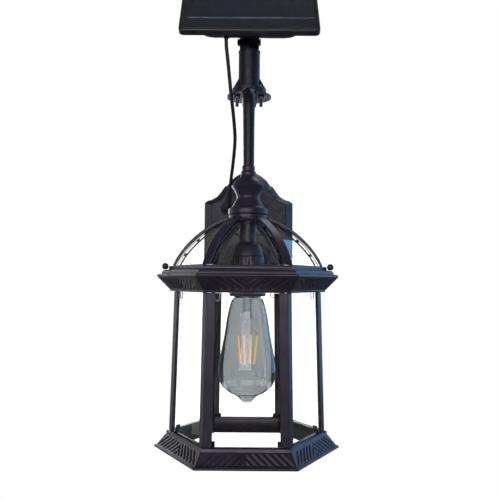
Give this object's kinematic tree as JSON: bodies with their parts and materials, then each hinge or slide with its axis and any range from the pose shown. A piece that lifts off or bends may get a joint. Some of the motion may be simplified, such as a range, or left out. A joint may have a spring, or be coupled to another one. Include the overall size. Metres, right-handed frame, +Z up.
{
  "type": "solar lantern",
  "caption": "Wall-mounted six-sided solar lantern: gooseneck arm from an ogee plate, glazed dome and cage, filament bulb, and a tilting solar panel on a clamped pole.",
  "frame": {"origin": "on the wall, at the centre of the back of the wall plate and its mounting strap", "axes": "+Z up, +Y into the wall, +X to the right for a person facing the wall"},
  "size_m": [0.2058, 0.2191, 0.5795],
  "materials": {
    "bronze_paint": "satin dark bronze paint on cast metal",
    "zinc_plate": "dull zinc plating",
    "steel_fixing": "plain screws and nuts",
    "ball_nut_bronze": "aged bronze",
    "clear_glass": "clear and glossy",
    "black_rubber": "matte",
    "black_plastic": "satin moulded plastic",
    "solar_cell": "near-black silicon under a clear face",
    "socket_brass": "bright pressed brass",
    "nickel_cap": "nickel plated",
    "battery_wrap": "shrink sleeve",
    "circuit_board": "solder mask"
  },
  "bodies": {
    "root": {"wall_plate": "bronze_paint", "mounting_strap": "steel_fixing", "plate_nut_top": "bronze_paint", "plate_nut_bottom": "bronze_paint", "gooseneck_arm": "bronze_paint", "wall_grommet": "black_rubber", "solar_lead": "black_rubber", "pole_bracket": "bronze_paint", "clamp_plate": "zinc_plate", "clamp_bolt_left": "steel_fixing", "clamp_bolt_right": "steel_fixing", "clamp_nut_left": "steel_fixing", "clamp_nut_right": "steel_fixing", "pole_knuckle": "bronze_paint", "pivot_bolt": "steel_fixing", "pivot_nut": "steel_fixing", "finial": "bronze_paint", "crown_plate": "bronze_paint", "stem_tube": "bronze_paint", "dome_rib_right": "bronze_paint", "dome_rib_back_right": "bronze_paint", "dome_rib_back_left": "bronze_paint", "dome_rib_left": "bronze_paint", "dome_rib_front_left": "bronze_paint", "dome_rib_front_right": "bronze_paint", "dome_glass_side_right_back": "clear_glass", "dome_glass_back": "clear_glass", "dome_glass_side_left_back": "clear_glass", "dome_glass_side_left_front": "clear_glass", "dome_glass_front": "clear_glass", "dome_glass_side_right_front": "clear_glass", "cornice_ring": "bronze_paint", "ball_nut_left": "ball_nut_bronze", "ball_nut_right": "ball_nut_bronze", "cage_post_right": "bronze_paint", "cage_post_back_right": "bronze_paint", "cage_post_back_left": "bronze_paint", "cage_post_left": "bronze_paint", "cage_post_front_left": "bronze_paint", "cage_post_front_right": "bronze_paint", "cage_glass_side_right_back": "clear_glass", "cage_glass_back": "clear_glass", "cage_glass_side_left_back": "clear_glass", "cage_glass_side_left_front": "clear_glass", "cage_glass_front": "clear_glass", "cage_glass_side_right_front": "clear_glass", "base_skirt": "bronze_paint", "holder_cap": "bronze_paint", "holder_shell": "bronze_paint", "socket_insert": "socket_brass"},
    "panel": {"panel_knuckle": "bronze_paint", "panel_frame": "black_plastic", "panel_glass": "clear_glass", "solar_cells": "solar_cell", "panel_housing": "black_plastic", "battery_pack": "battery_wrap", "control_board": "circuit_board"},
    "bulb_carrier": {"bulb_contact": "socket_brass"},
    "bulb": {"bulb_cap": "nickel_cap", "bulb_glass": "clear_glass"}
  },
  "joints": [
    {"name": "panel_tilt", "type": "hinge", "parent": "root", "child": "panel", "pos_m": [0, -0.09, 0.2235], "axis": [1, 0, 0], "range_deg": [-30, 28], "deforming": ["solar_lead"]},
    {"name": "bulb_travel", "type": "slide", "parent": "root", "child": "bulb_carrier", "axis": [0, 0, -1], "range_m": [0, 0.011]},
    {"name": "bulb_turn", "type": "hinge", "parent": "bulb_carrier", "child": "bulb", "pos_m": [0, -0.13, -0.07], "axis": [0, 0, -1], "range_deg": [0, 1080]}
  ],
  "couplings": [
    {"joint": "bulb_travel", "follows": "bulb_turn", "m_per_rad": 0.00057615}
  ]
}
